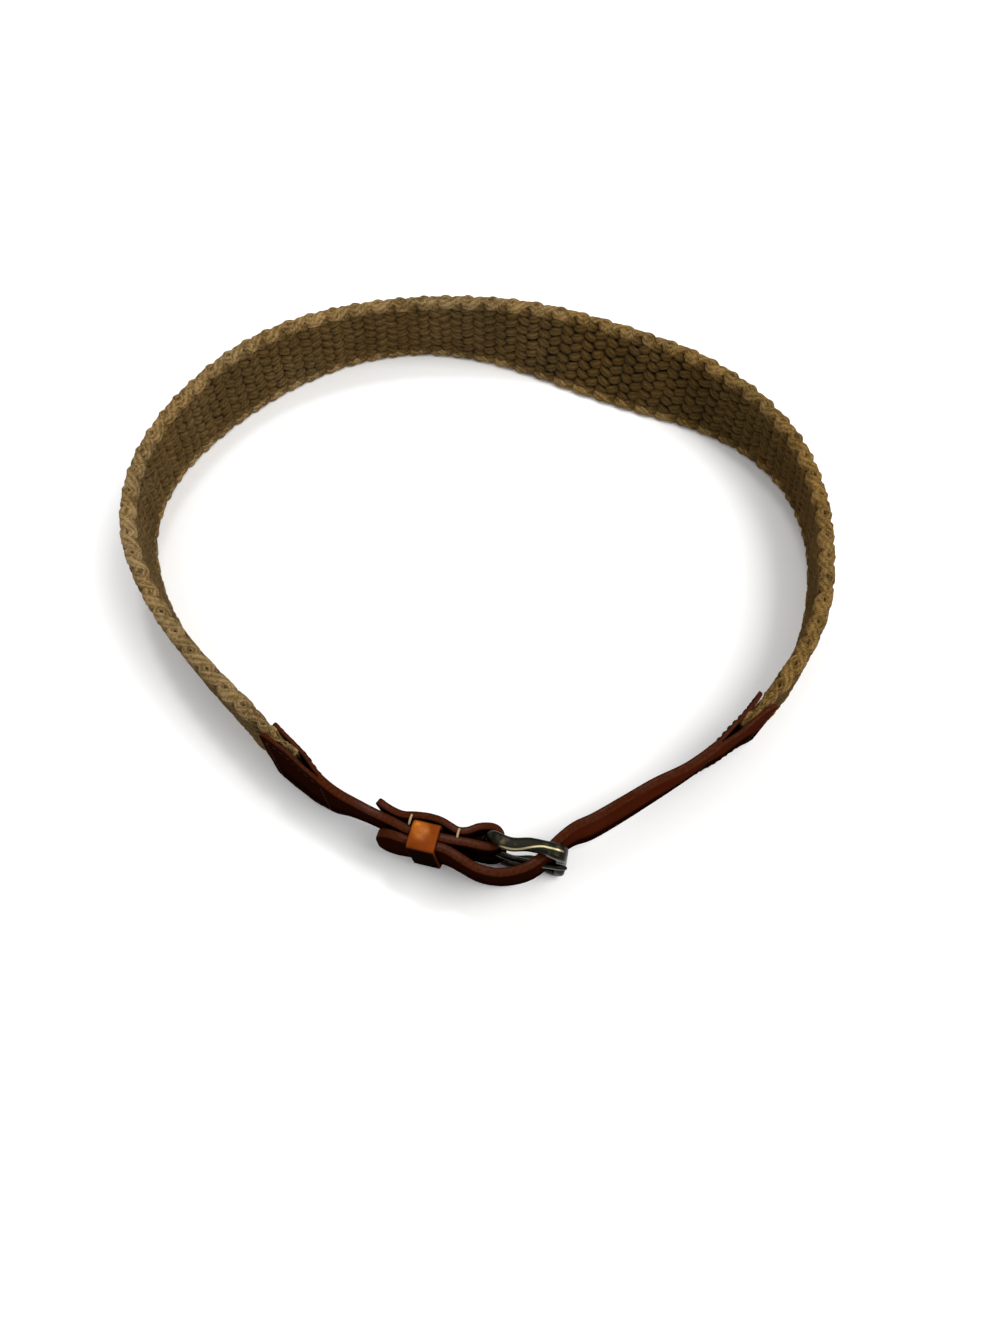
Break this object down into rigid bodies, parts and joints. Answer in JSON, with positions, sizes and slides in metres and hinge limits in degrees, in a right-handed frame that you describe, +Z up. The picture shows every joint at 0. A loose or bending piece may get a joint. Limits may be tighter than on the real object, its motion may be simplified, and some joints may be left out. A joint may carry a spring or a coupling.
{
  "type": "woven belt",
  "caption": "Fastened waist belt with a woven cord band, leather ends, a single-prong buckle and a leather keeper, standing on its edge.",
  "frame": {"origin": "centre of the belt's bounding box in plan, on the floor it stands on", "axes": "+X to the right seen from the buckle side, +Y from the buckle to the back of the waist, +Z up across the belt's width"},
  "size_m": [0.31, 0.2956, 0.038],
  "materials": {
    "cord": "matte",
    "leather": "satin",
    "keeper_leather": "satin",
    "antique_brass": "antique"
  },
  "bodies": {
    "root": {"woven_band": "cord", "buckle_tab": "leather", "billet_tab": "leather", "buckle_frame": "antique_brass", "prong": "antique_brass", "keeper": "keeper_leather"}
  },
  "joints": []
}
